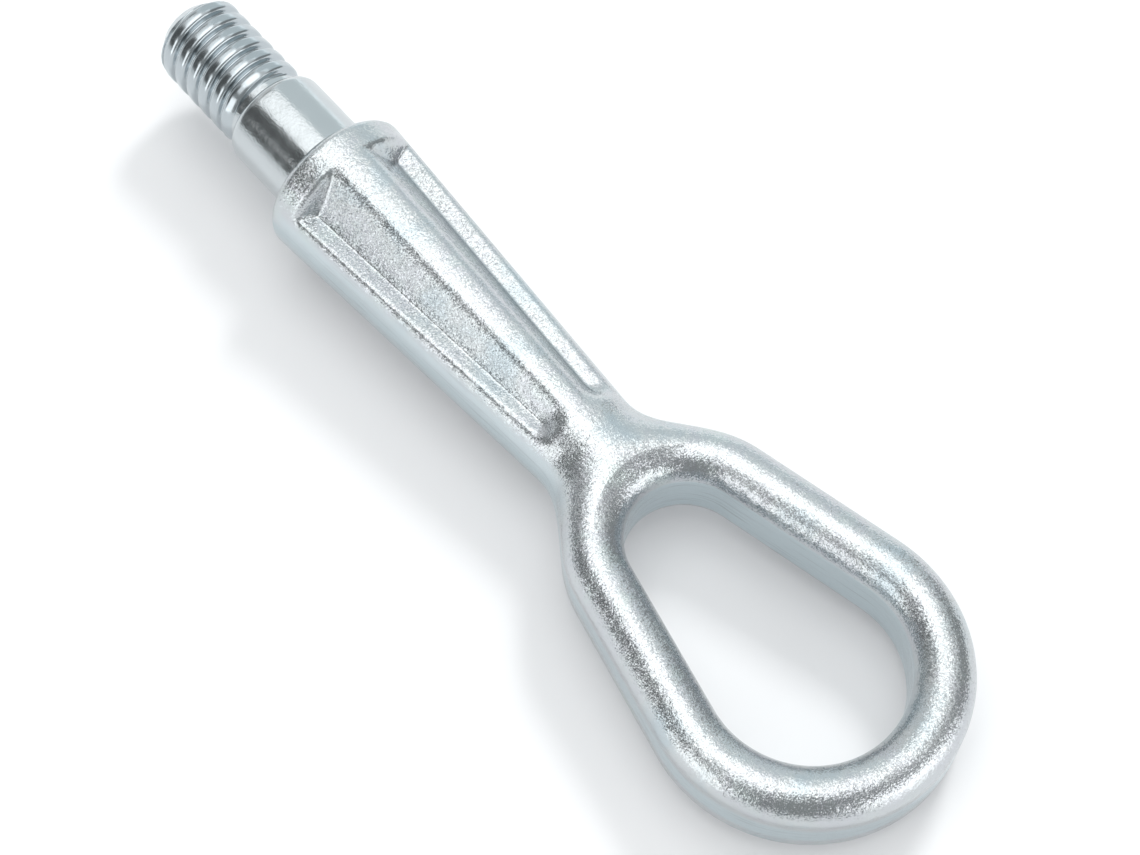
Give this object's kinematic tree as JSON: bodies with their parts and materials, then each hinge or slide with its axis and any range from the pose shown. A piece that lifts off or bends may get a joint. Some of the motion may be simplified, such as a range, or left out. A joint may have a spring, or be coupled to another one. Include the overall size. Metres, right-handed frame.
{
  "type": "towing eye",
  "caption": "Forged screw-in towing eye with a coarse round thread, a plain collar, a tapered shank with forged pockets and a closed pear-shaped eye.",
  "frame": {"origin": "on the shank's axis, at the plane where the plain collar meets the shoulder of the boss", "axes": "+X along the shank towards the eye, +Z square to the plane of the eye, the thread towards -X"},
  "size_m": [0.1767, 0.0494, 0.0262],
  "materials": {
    "zinc_plated_steel": "zinc plated over a fine forged grain, with a turned collar and a rolled thread"
  },
  "bodies": {
    "root": {"tow_eye": "zinc_plated_steel"}
  },
  "joints": []
}
